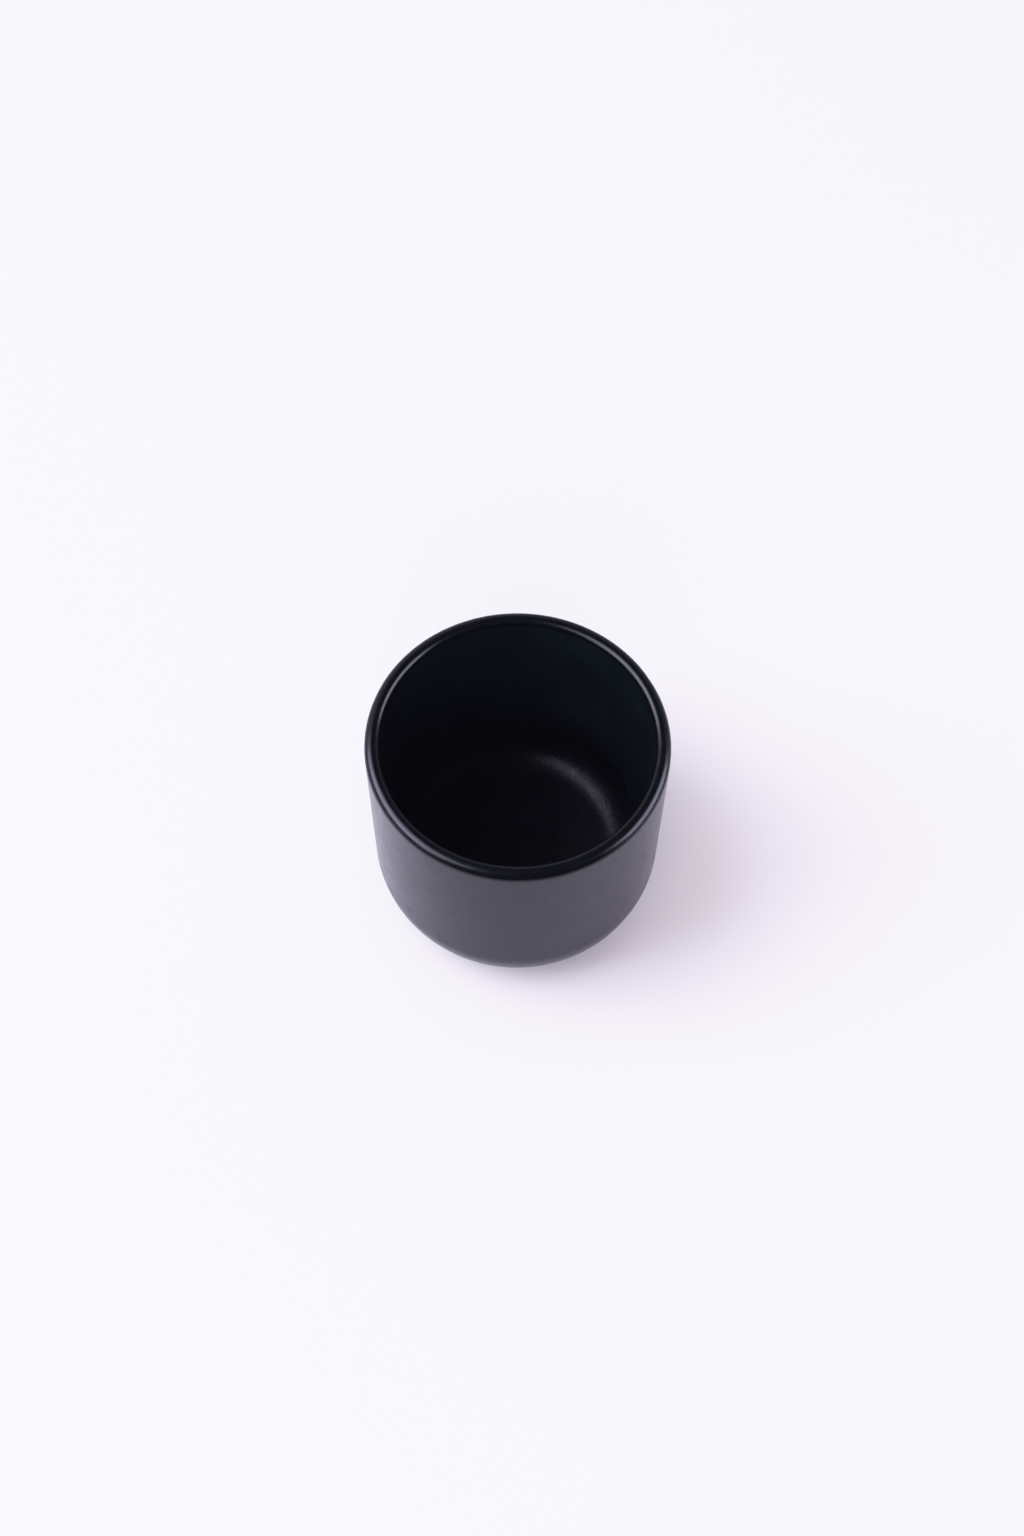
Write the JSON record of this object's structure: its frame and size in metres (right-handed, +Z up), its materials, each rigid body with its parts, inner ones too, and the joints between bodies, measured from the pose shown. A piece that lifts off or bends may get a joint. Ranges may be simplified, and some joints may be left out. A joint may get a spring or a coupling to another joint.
{
  "type": "empty candle jar",
  "caption": "Round straight-walled jar with a full-round rim, a softly rounded lower corner, a filleted floor and a low foot ring, in satin black glazed stoneware.",
  "frame": {"origin": "middle of the foot ring, on the surface that the jar stands on", "axes": "+Z up along the jar's axis, out of its mouth; +X and +Y are arbitrary, because the jar is round"},
  "size_m": [0.084, 0.084, 0.076],
  "materials": {
    "bare_stoneware": "matt, fine sandy grain, unglazed",
    "black_glaze": "satin black, slight orange peel, soft reflections"
  },
  "bodies": {
    "root": {"stoneware_body": "bare_stoneware", "glaze_coat": "black_glaze", "recess_glaze": "black_glaze"}
  },
  "joints": []
}
